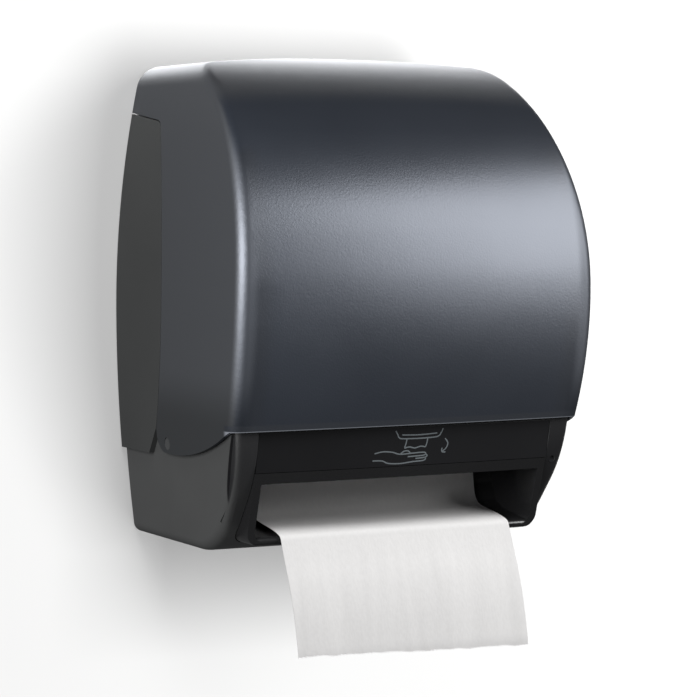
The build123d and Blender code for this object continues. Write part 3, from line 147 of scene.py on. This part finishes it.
# Rear housing: the grey moulding that is screwed to the wall, with its two side panels.
# It is injection moulded and finely textured all over, and the panels clip into its side walls.
# Its cheeks turn darker towards the front, the right cheek is darker still with painted shade, and a groove
# runs down each corner, darkened with painted shade.
def moulding(name, colour, roughness, grain, depth, mottle=0.08, specular=0.5):
    material = bpy.data.materials.new(name)
    material.use_nodes = True
    nodes = material.node_tree.nodes
    links = material.node_tree.links
    shader = nodes["Principled BSDF"]
    shader.inputs["Specular IOR Level"].default_value = specular
    place = nodes.new("ShaderNodeTexCoord")
    cloud = nodes.new("ShaderNodeTexNoise")
    cloud.inputs["Scale"].default_value = 9.0
    cloud.inputs["Detail"].default_value = 3.0
    tint = nodes.new("ShaderNodeValToRGB")
    for stop, factor in zip(tint.color_ramp.elements, (1 - mottle, 1 + mottle)):
        stop.color = (*(min(1.0, channel * factor) for channel in colour), 1)
    tint.color_ramp.elements[0].position = 0.3
    tint.color_ramp.elements[1].position = 0.7
    polish = nodes.new("ShaderNodeMapRange")
    polish.inputs["To Min"].default_value = roughness - 0.04
    polish.inputs["To Max"].default_value = roughness + 0.05
    spark = nodes.new("ShaderNodeTexNoise")
    spark.inputs["Scale"].default_value = grain
    spark.inputs["Detail"].default_value = 2.0
    bump = nodes.new("ShaderNodeBump")
    bump.inputs["Strength"].default_value = depth
    bump.inputs["Distance"].default_value = 0.0003
    links.new(place.outputs["Object"], cloud.inputs["Vector"])
    links.new(place.outputs["Object"], spark.inputs["Vector"])
    links.new(cloud.outputs["Fac"], tint.inputs["Fac"])
    links.new(tint.outputs["Color"], shader.inputs["Base Color"])
    links.new(cloud.outputs["Fac"], polish.inputs["Value"])
    links.new(polish.outputs["Result"], shader.inputs["Roughness"])
    links.new(spark.outputs["Fac"], bump.inputs["Height"])
    links.new(bump.outputs["Normal"], shader.inputs["Normal"])
    return material


def finish_nodes(material, *names):
    for name in names:
        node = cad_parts[name]
        node.data.materials.clear()
        node.data.materials.append(material)


def axes_of(material, output):
    tree = material.node_tree
    place = next(node for node in tree.nodes if node.bl_idname == "ShaderNodeTexCoord")
    axes = tree.nodes.new("ShaderNodeSeparateXYZ")
    tree.links.new(place.outputs[output], axes.inputs[0])
    return axes.outputs


def fade(source, low, high):
    tree = source.id_data
    ramp = tree.nodes.new("ShaderNodeMapRange")
    ramp.interpolation_type = "SMOOTHSTEP"
    ramp.inputs["From Min"].default_value = low
    ramp.inputs["From Max"].default_value = high
    tree.links.new(source, ramp.inputs["Value"])
    return ramp.outputs["Result"]


def combine(kind, first, second=None, factor=None):
    tree = first.id_data
    step = tree.nodes.new("ShaderNodeMath")
    step.operation = kind
    tree.links.new(first, step.inputs[0])
    if factor is not None:
        step.inputs[1].default_value = factor
    elif second is not None:
        tree.links.new(second, step.inputs[1])
    return step.outputs[0]


def lay_over(material, entry, mask, value):
    tree = material.node_tree
    socket = tree.nodes["Principled BSDF"].inputs[entry]
    layer = tree.nodes.new("ShaderNodeMix")
    layer.data_type = "RGBA" if entry == "Base Color" else "FLOAT"
    tree.links.new(mask, layer.inputs["Factor"])
    if socket.links:
        tree.links.new(socket.links[0].from_socket, layer.inputs["A"])
    else:
        layer.inputs["A"].default_value = socket.default_value
    layer.inputs["B"].default_value = value
    tree.links.new(layer.outputs["Result"], socket)


housing_grey = moulding("housing_grey", (0.036, 0.037, 0.038), 0.42, 1500, 0.35)
finish_nodes(housing_grey, "hinge_pins")
housing_skin = moulding("housing_skin", (0.046, 0.047, 0.047), 0.42, 1500, 0.35)
housing_spot = axes_of(housing_skin, "Object")
side_lean = combine("MULTIPLY", housing_spot["Z"], factor=0.0764)
front_lean = combine("MULTIPLY", housing_spot["Z"], factor=0.3426)
lower_side = combine("SUBTRACT", combine("ABSOLUTE", housing_spot["X"]), side_lean)
lower_front = combine("ADD", housing_spot["Y"], front_lean)
# Painted shade: the grooves down the corners are darkened in the colour, as shade lying in a recess.
groove_painted_shade = combine("MULTIPLY", fade(lower_side, 0.1538, 0.1554), fade(lower_front, -0.2368, -0.2386))
housing_facing = axes_of(housing_skin, "Normal")
facing_front = fade(housing_facing["Y"], -0.60, -0.97)
cheek_front = combine("MULTIPLY", fade(housing_spot["Y"], -0.150, -0.175), facing_front)
# Painted shade: the right cheek's front is darkened in the colour, as if it lay in its own shade.
right_cheek_painted_shade = combine("MULTIPLY", fade(housing_spot["X"], 0.124, 0.127), cheek_front)
lay_over(housing_skin, "Base Color", cheek_front, (0.013, 0.013, 0.014, 1))
lay_over(housing_skin, "Base Color", right_cheek_painted_shade, (0.010, 0.010, 0.011, 1))
lay_over(housing_skin, "Base Color", groove_painted_shade, (0.008, 0.008, 0.009, 1))
finish_nodes(housing_skin, "rear_housing")
panel_grey = moulding("panel_grey", (0.027, 0.028, 0.028), 0.50, 1500, 0.40)
finish_nodes(panel_grey, "side_panel_left", "side_panel_right")

# Front cover: one thin moulding in smoke-tinted plastic, satin outside and rougher at its sides.
# It hangs on the two hinge pins at the foot of its side lobes and closes over the roll.
# Its rim carries a painted highlight, and the band just above the rim is a little lighter than the face.
smoke_satin = moulding("smoke_satin", (0.009, 0.012, 0.018), 0.34, 700, 0.26, mottle=0.05, specular=0.8)
cover_shader = smoke_satin.node_tree.nodes["Principled BSDF"]
cover_shader.inputs["IOR"].default_value = 1.9
cover_shader.inputs["Specular Tint"].default_value = (0.84, 0.89, 1.0, 1)
cover_spot = axes_of(smoke_satin, "Object")
cover_facing = axes_of(smoke_satin, "Normal")
side_face = fade(combine("ABSOLUTE", cover_facing["X"]), 0.55, 0.85)
rear_part = fade(cover_spot["Y"], -0.172, -0.150)
on_front = fade(cover_spot["Y"], -0.198, -0.204)
lower_band = combine("MULTIPLY", fade(cover_spot["Z"], -0.0950, -0.0965), on_front)
# Painted highlight: the rim's light colour stands in for the light caught on the cover's lower edge.
rim_painted_highlight = combine("MULTIPLY", fade(cover_spot["Z"], -0.1000, -0.1005), on_front)
beside = combine("ABSOLUTE", cover_spot["X"])
# Painted reflection: a darker band beside each front corner stands in for the dark room reflected on the
# corner's curve.
corner_painted_dark_reflection = combine("MULTIPLY", fade(beside, 0.122, 0.137), on_front)
grey_part = combine("MAXIMUM", side_face, rear_part)
lay_over(smoke_satin, "Base Color", corner_painted_dark_reflection, (0.008, 0.010, 0.014, 1))
lay_over(smoke_satin, "Base Color", grey_part, (0.020, 0.021, 0.022, 1))
lay_over(smoke_satin, "Base Color", lower_band, (0.014, 0.016, 0.020, 1))
lay_over(smoke_satin, "Base Color", rim_painted_highlight, (0.16, 0.17, 0.19, 1))
low_corner = combine("MULTIPLY", fade(beside, 0.136, 0.146), fade(cover_spot["Z"], -0.055, -0.100))
rough_part = combine("MAXIMUM", grey_part, fade(beside, 0.138, 0.146))
lay_over(smoke_satin, "Roughness", rough_part, 0.50)
lay_over(smoke_satin, "Specular IOR Level", low_corner, 0.25)
finish_nodes(smoke_satin, "front_cover")


# The cover's faces are shaded as one surface, with only its real corners left sharp.
def even_normals(piece, corner_angle=30):
    tree = bpy.data.node_groups.new("even_normals", "GeometryNodeTree")
    tree.interface.new_socket("Geometry", in_out="INPUT", socket_type="NodeSocketGeometry")
    tree.interface.new_socket("Geometry", in_out="OUTPUT", socket_type="NodeSocketGeometry")
    given = tree.nodes.new("NodeGroupInput")
    result = tree.nodes.new("NodeGroupOutput")
    joined = tree.nodes.new("GeometryNodeMergeByDistance")
    joined.inputs["Distance"].default_value = 0.00002
    bend = tree.nodes.new("GeometryNodeInputMeshEdgeAngle")
    sharp = tree.nodes.new("FunctionNodeCompare")
    sharp.operation = "GREATER_THAN"
    sharp.inputs["B"].default_value = radians(corner_angle)
    normals = tree.nodes.new("GeometryNodeSetMeshNormal")
    normals.mode = "SHARPNESS"
    tree.links.new(given.outputs[0], joined.inputs[0])
    tree.links.new(joined.outputs[0], normals.inputs[0])
    tree.links.new(bend.outputs["Unsigned Angle"], sharp.inputs["A"])
    tree.links.new(sharp.outputs[0], normals.inputs["Edge Sharpness"])
    tree.links.new(normals.outputs[0], result.inputs[0])
    piece.modifiers.new("even_normals", "NODES").node_group = tree


front_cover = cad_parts["front_cover"]
even_normals(front_cover)


# Cover lock: a turned barrel pressed into the roof, its key plug, the cam below and the keeper.
# Barrel and plug are plated brass, the cam and the hooked keeper are punched steel sheet.
def brushed(name, colour, roughness, stretch=(1, 1, 40), scale=60.0):
    material = bpy.data.materials.new(name)
    material.use_nodes = True
    nodes = material.node_tree.nodes
    links = material.node_tree.links
    shader = nodes["Principled BSDF"]
    shader.inputs["Metallic"].default_value = 1.0
    place = nodes.new("ShaderNodeTexCoord")
    squeeze = nodes.new("ShaderNodeMapping")
    squeeze.inputs["Scale"].default_value = stretch
    lines = nodes.new("ShaderNodeTexNoise")
    lines.inputs["Scale"].default_value = scale
    lines.inputs["Detail"].default_value = 4.0
    tone = nodes.new("ShaderNodeValToRGB")
    tone.color_ramp.elements[0].color = (*(channel * 0.82 for channel in colour), 1)
    tone.color_ramp.elements[1].color = (*colour, 1)
    dull = nodes.new("ShaderNodeMapRange")
    dull.inputs["To Min"].default_value = roughness - 0.07
    dull.inputs["To Max"].default_value = roughness + 0.09
    links.new(place.outputs["Object"], squeeze.inputs["Vector"])
    links.new(squeeze.outputs["Vector"], lines.inputs["Vector"])
    links.new(lines.outputs["Fac"], tone.inputs["Fac"])
    links.new(tone.outputs["Color"], shader.inputs["Base Color"])
    links.new(lines.outputs["Fac"], dull.inputs["Value"])
    links.new(dull.outputs["Result"], shader.inputs["Roughness"])
    return material


plated = brushed("plated_lock", (0.62, 0.61, 0.59), 0.28, stretch=(1, 1, 25))
finish_nodes(plated, "lock_barrel", "lock_plug")
sheet_steel = brushed("sheet_steel", (0.55, 0.56, 0.57), 0.35, stretch=(30, 1, 1))
finish_nodes(sheet_steel, "lock_cam", "lock_keeper", "arm_bracket")

# Front panel and outlet: two black mouldings left glossy from a polished tool.
# The panel clips between the housing's cheeks, and the outlet's frame slides in under it.
panel_black = moulding("panel_black", (0.015, 0.015, 0.0165), 0.30, 700, 0.05, specular=0.5)
finish_nodes(panel_black, "front_fascia")
outlet_black = moulding("outlet_black", (0.010, 0.010, 0.0105), 0.22, 500, 0.04, specular=0.5)
finish_nodes(outlet_black, "outlet_frame")

# Printed sign on the front panel: a thin grey line drawing of a sheet being taken by an open hand.
# It is pad printed, so its lines lie on the panel's face and are only as thick as the ink.
panel_top_y = -0.2123
panel_top_z = -0.103
panel_lean = 0.0067 / 0.0301
bow_radius = 2.434


def panel_face_y(x, z):
    bow = bow_radius - sqrt(bow_radius**2 - x * x)
    return panel_top_y + (panel_top_z - z) * panel_lean + bow


def smooth_line(points, steps=8):
    ends = [points[0], *points, points[-1]]
    line = []
    for index in range(1, len(ends) - 2):
        before, start, stop, after = (Vector(ends[index + offset]) for offset in (-1, 0, 1, 2))
        for step in range(steps):
            t = step / steps
            line.append(
                0.5 * (2 * start + (stop - before) * t + (2 * before - 5 * start + 4 * stop - after) * t * t
                       + (3 * start - before - 3 * stop + after) * t * t * t)
            )
    line.append(Vector(points[-1]))
    return line


sign_lines = [
    [(-14, -105.2), (-12.4, -108), (-11, -110.6), (-8, -111.6), (4, -111.9), (16, -111.5), (19.2, -110.4),
     (20.6, -108), (21.6, -105)],
    [(-9, -108.6), (4, -109.1), (17.4, -108.4)],
    [(-5, -112), (-5.4, -115.6), (-6.2, -119.2)],
    [(-6.2, -119.2), (-2.4, -118.4), (1.6, -119.4), (6, -118.3), (9.6, -119.0)],
    [(9.6, -119.0), (10.4, -115.6), (10.6, -112)],
    [(-28, -122.4), (-22, -121.2), (-15, -121.9), (-9, -123.8), (1, -123.4), (8.6, -123.2), (10.4, -124.4),
     (8.6, -125.6), (2, -125.9), (-3, -126.1)],
    [(10.4, -124.6), (11.6, -126.0), (9.8, -127.3), (3, -127.8)],
    [(9.8, -127.3), (10.6, -128.7), (8.4, -129.8), (1, -130.2), (-8, -131.2), (-17, -130.6), (-22, -128.4),
     (-29, -128.0)],
    [(-9, -123.8), (-6.2, -121.6), (-3.2, -121.5), (-1.4, -123.2)],
    [(24, -113), (26.4, -116.6), (25.6, -120.6), (22.6, -123.4)],
    [(22.4, -120.4), (22.6, -123.4), (25.4, -124.0)],
]
sign_stretch = 1.18
sign_shift = 3.2
line_half_width = 0.0005
ink_height = 0.00005
sign_mesh = bmesh.new()
for stroke in sign_lines:
    line = smooth_line([((sign_stretch * x + sign_shift) / 1000, z / 1000) for x, z in stroke])
    pairs = []
    for index, spot in enumerate(line):
        along = line[min(index + 1, len(line) - 1)] - line[max(index - 1, 0)]
        across = Vector((-along.y, along.x)).normalized() * line_half_width
        pairs.append([
            sign_mesh.verts.new((edge.x, panel_face_y(edge.x, edge.y) - ink_height, edge.y))
            for edge in (spot + across, spot - across)
        ])
    for (a, b), (c, d) in zip(pairs, pairs[1:]):
        sign_mesh.faces.new((a, b, d, c))
sign_data = bpy.data.meshes.new("printed_sign")
sign_mesh.to_mesh(sign_data)
sign_mesh.free()
printed_sign = bpy.data.objects.new("printed_sign", sign_data)
scene.collection.objects.link(printed_sign)
sign_ink = moulding("sign_ink", (0.20, 0.225, 0.24), 0.5, 900, 0.1, mottle=0.12)
sign_data.materials.append(sign_ink)
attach(printed_sign, "housing")

# Windows: the round cap over the panel's light and the towel sensor's face, polished dark plastic.
# Both press into their holes from behind.
lens_black = moulding("lens_black", (0.02, 0.02, 0.022), 0.10, 300, 0.0)
finish_nodes(lens_black, "indicator_lens", "towel_sensor")

# Mechanism frame: two black side plates with a lid over them, plain matte mouldings.
# The lid carries the grey feed button and the length selector, and the board hangs below it.
plate_black = moulding("plate_black", (0.022, 0.022, 0.023), 0.55, 1200, 0.4)
finish_nodes(
    plate_black, "mechanism_plate_left", "mechanism_plate_right", "mechanism_lid", "board_posts",
    "gearbox", "pinch_carrier", "battery_tray", "battery_lid", "feed_roller_core",
)
key_grey = moulding("key_grey", (0.17, 0.175, 0.185), 0.45, 900, 0.2)
finish_nodes(key_grey, "feed_button", "length_selector", "switch_plunger")
chip_black = moulding("chip_black", (0.012, 0.012, 0.012), 0.40, 1500, 0.3)
finish_nodes(chip_black, "board_components", "cover_switch")
board_green = moulding("board_green", (0.012, 0.075, 0.030), 0.32, 250, 0.2, mottle=0.25)
finish_nodes(board_green, "circuit_board")

# Feed and pinch rollers: ground rubber tyres on steel shafts, with acetal bushes and gears.
# The pinch roller rides on its own carrier, pressed home by two small torsion springs.
tyre_rubber = moulding("tyre_rubber", (0.035, 0.034, 0.033), 0.75, 2200, 0.7, mottle=0.15, specular=0.3)
finish_nodes(tyre_rubber, "feed_tyres", "pinch_tyres")
acetal = moulding("acetal", (0.66, 0.65, 0.60), 0.38, 600, 0.1, mottle=0.04)
finish_nodes(
    acetal, "feed_bearings", "drive_gear", "idler_gear", "motor_pinion", "roll_hub_left", "roll_hub_right",
)
bright_steel = brushed("bright_steel", (0.66, 0.66, 0.67), 0.24, stretch=(1, 1, 1), scale=300)
finish_nodes(
    bright_steel, "feed_shaft", "idler_stud", "motor_shaft", "pinch_pivots", "pinch_shaft",
    "pinch_springs", "battery_contacts", "battery_lid_pin", "arm_pin", "lid_screws", "arm_screws",
)
motor_can = brushed("motor_can", (0.50, 0.50, 0.50), 0.33, stretch=(1, 30, 30), scale=40)
finish_nodes(motor_can, "drive_motor")

# Tear bar: punched stainless strip with a row of teeth, riveted behind the outlet's ceiling.
# Its teeth stand just below the ceiling, where a pull upwards cuts the towel.
blade_steel = brushed("blade_steel", (0.60, 0.61, 0.62), 0.30, stretch=(40, 1, 1), scale=50)
finish_nodes(blade_steel, "tear_bar")

# Battery cells: four large round cells in their tray, each in a shrunk grey sleeve.
sleeve_grey = moulding("sleeve_grey", (0.055, 0.058, 0.065), 0.25, 200, 0.05)
finish_nodes(sleeve_grey, "battery_cells")

# Roll arms: ribbed grey arms; the left one is screwed to the back plate, the right one swings.
arm_grey = moulding("arm_grey", (0.060, 0.061, 0.064), 0.48, 1300, 0.3)
finish_nodes(arm_grey, "roll_arm_left", "roll_arm_right")


# Towel roll: creped white paper wound on a board core, with its edges slightly uneven.
def paper(name, colour, crepe, depth):
    material = bpy.data.materials.new(name)
    material.use_nodes = True
    nodes = material.node_tree.nodes
    links = material.node_tree.links
    shader = nodes["Principled BSDF"]
    shader.inputs["Specular IOR Level"].default_value = 0.2
    shader.inputs["Sheen Weight"].default_value = 0.15
    shader.inputs["Subsurface Weight"].default_value = 0.0
    place = nodes.new("ShaderNodeTexCoord")
    fibre = nodes.new("ShaderNodeTexNoise")
    fibre.inputs["Scale"].default_value = crepe
    fibre.inputs["Detail"].default_value = 5.0
    shade = nodes.new("ShaderNodeValToRGB")
    shade.color_ramp.elements[0].color = (*(channel * 0.95 for channel in colour), 1)
    shade.color_ramp.elements[0].position = 0.25
    shade.color_ramp.elements[1].color = (*colour, 1)
    shade.color_ramp.elements[1].position = 0.7
    rough = nodes.new("ShaderNodeMapRange")
    rough.inputs["To Min"].default_value = 0.85
    rough.inputs["To Max"].default_value = 0.98
    bump = nodes.new("ShaderNodeBump")
    bump.inputs["Strength"].default_value = depth
    bump.inputs["Distance"].default_value = 0.0004
    lengthwise = nodes.new("ShaderNodeMapping")
    lengthwise.inputs["Scale"].default_value = (1.0, 0.5, 0.5)
    links.new(place.outputs["Object"], lengthwise.inputs["Vector"])
    links.new(lengthwise.outputs["Vector"], fibre.inputs["Vector"])
    links.new(fibre.outputs["Fac"], shade.inputs["Fac"])
    links.new(shade.outputs["Color"], shader.inputs["Base Color"])
    links.new(fibre.outputs["Fac"], rough.inputs["Value"])
    links.new(rough.outputs["Result"], shader.inputs["Roughness"])
    links.new(fibre.outputs["Fac"], bump.inputs["Height"])
    links.new(bump.outputs["Normal"], shader.inputs["Normal"])
    return material


towel_white = paper("towel_white", (0.81, 0.80, 0.793), 500, 0.35)
core_board = paper("core_board", (0.36, 0.25, 0.15), 180, 0.5)
finish_nodes(core_board, "roll_core")


def link_mesh(name, work, material, body):
    data = bpy.data.meshes.new(name)
    work.to_mesh(data)
    work.free()
    for face in data.polygons:
        face.use_smooth = True
    data.set_sharp_from_angle(angle=radians(50))
    data.materials.append(material)
    piece = bpy.data.objects.new(name, data)
    scene.collection.objects.link(piece)
    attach(piece, body)
    return piece


towel_half = 0.1016
roll_centre = Vector((-0.118, 0.060))
roll_outer = 0.088
roll_inner = 0.0221
wound = bmesh.new()
profile = []
layers = 64
for side in (-1, 1):
    ring_order = range(layers + 1) if side < 0 else range(layers, -1, -1)
    for layer in ring_order:
        radius = roll_inner + (roll_outer - roll_inner - 0.0002) * layer / layers
        rough = noise.noise(Vector((layer * 0.83, side * 3.1, 0.4)))
        profile.append((side * (towel_half - 0.0003 - 0.0003 * abs(rough) - 0.0002 * (layer % 2)), radius))
turns = 120
rings = []
for turn in range(turns):
    angle = 2 * pi * turn / turns
    ring = []
    for x, radius in profile:
        swell = 1 + 0.0012 * noise.noise(Vector((3 * cos(angle), 3 * sin(angle), radius * 30)))
        reach = min(radius * swell, roll_outer)
        y, z = roll_centre + reach * Vector((cos(angle), sin(angle)))
        ring.append(wound.verts.new((x, y, z)))
    rings.append(ring)
for turn, ring in enumerate(rings):
    following = rings[(turn + 1) % turns]
    for index in range(len(ring)):
        beside = (index + 1) % len(ring)
        wound.faces.new((ring[index], ring[beside], following[beside], following[index]))
bmesh.ops.recalc_face_normals(wound, faces=wound.faces)
wound_roll = link_mesh("wound_roll", wound, towel_white, "roll")
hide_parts("towel_roll")


# Towel in use: one creped paper web from the front of the roll, round the pinch roller and through
# the nip into the chute, then its free end over the lip, cut a little slanted by the tear bar's teeth.
columns = 136
half_thickness = 0.00012


def paper_strip(name, path, pitch, ripple, cut=lambda x: 0.0, cut_from=0.5):
    spaced = [path[0]]
    for spot in path:
        while (spot - spaced[-1]).length >= pitch:
            spaced.append(spaced[-1] + (spot - spaced[-1]).normalized() * pitch)
    strip = bmesh.new()
    faces = {1: [], -1: []}
    length = pitch * (len(spaced) - 1)
    for row, spot in enumerate(spaced):
        along = spaced[min(row + 1, len(spaced) - 1)] - spaced[max(row - 1, 0)]
        along.normalize()
        outward = Vector((along.y, -along.x))
        down = row * pitch
        for side in (1, -1):
            edge = []
            for column in range(columns + 1):
                x = towel_half * (2 * column / columns - 1)
                lift = ripple(x, down, length) + side * half_thickness
                pull = cut(x) * max(0.0, down / length - cut_from) / (1 - cut_from)
                y, z = spot + outward * lift + along * pull
                edge.append(strip.verts.new((x, y, z)))
            faces[side].append(edge)
    for side in (1, -1):
        for above, below in zip(faces[side], faces[side][1:]):
            for column in range(columns):
                quad = (above[column], above[column + 1], below[column + 1], below[column])
                strip.faces.new(quad if side > 0 else quad[::-1])
    front, back = faces[1], faces[-1]
    for row in range(len(spaced) - 1):
        strip.faces.new((front[row][0], front[row + 1][0], back[row + 1][0], back[row][0]))
        strip.faces.new((back[row][-1], back[row + 1][-1], front[row + 1][-1], front[row][-1]))
    for column in range(columns):
        strip.faces.new((back[0][column], back[0][column + 1], front[0][column + 1], front[0][column]))
        strip.faces.new((front[-1][column], front[-1][column + 1], back[-1][column + 1], back[-1][column]))
    bmesh.ops.recalc_face_normals(strip, faces=strip.faces)
    return link_mesh(name, strip, towel_white, "housing"), length


def still(x, down, length):
    return 0.00004 * noise.noise(Vector((x * 90, down * 90, 1.3)))


def creased(x, down, length):
    free = min(1.0, max(0.0, (down - 0.045) / 0.03))
    fold = noise.noise(Vector(((x + 0.12 * down) * 42, down * 9, 0.7)))
    crease = noise.noise(Vector(((x + 0.06 * down) * 130, down * 15, 2.9)))
    sway = noise.noise(Vector((x * 11, down * 7, 4.2)))
    return free * (0.0010 * fold + 0.00032 * crease + 0.0014 * sway)


cut_slant = 0.0070


def torn(x):
    across = (x / towel_half + 1) / 2
    tooth = 0.0013 * (round(across * columns) % 2)
    wave = 0.0011 * noise.noise(Vector((x * 95, 7.7, 0.2)))
    return cut_slant * across - tooth + wave


leaves_roll = Vector((-0.19646, 0.01917))
pinch_centre = Vector((-0.13948, -0.11516))
wrap_radius = 0.01145
wrap_start = 27.5
wrap = 37.5
wrap_steps = 8
web_path = [leaves_roll]
for step in range(wrap_steps + 1):
    angle = radians(wrap_start - wrap * step / wrap_steps)
    web_path.append(pinch_centre + wrap_radius * Vector((cos(angle), sin(angle))))
web_path += smooth_line([
    (-0.1356, -0.1600), (-0.1369, -0.1666), (-0.1392, -0.1712), (-0.1426, -0.1743), (-0.1479, -0.17635),
])
tail_path = smooth_line([
    (-0.14725, -0.1760), (-0.1580, -0.1778), (-0.1680, -0.1792), (-0.1780, -0.1809), (-0.1866, -0.1832),
    (-0.1896, -0.1853), (-0.1916, -0.1896), (-0.1970, -0.2020), (-0.2060, -0.2220), (-0.2130, -0.2430),
    (-0.2185, -0.2660), (-0.2198, -0.2740),
])
towel_in_chute, web_length = paper_strip("towel_in_chute", web_path, 0.002, still)
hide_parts("towel_web")

towel_end, end_length = paper_strip("towel_end", tail_path, 0.0015, creased, torn, cut_from=0.55)
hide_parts("towel_tail")
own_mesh(towel_end)

# Who each lamp shines on: the wide softbox and the edge strip are there for the cover's reflections,
# and the wall has a lamp of its own, so that its shadow stays as narrow as in the photograph.
def share_light(stand, pieces, state="INCLUDE"):
    group = bpy.data.collections.new(stand.name + "_group")
    for piece in pieces:
        group.objects.link(piece)
    for member in group.collection_objects:
        member.light_linking.link_state = state
    stand.light_linking.receiver_collection = group


share_light(cover_softbox, [front_cover])
share_light(edge_strip, [front_cover] + [
    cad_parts[name] for name in (
        "rear_housing", "side_panel_left", "side_panel_right", "outlet_frame", "hinge_pins",
    )
])
share_light(key_softbox, [front_cover], "EXCLUDE")
share_light(overhead, [front_cover], "EXCLUDE")
share_light(wall_light, [wall])
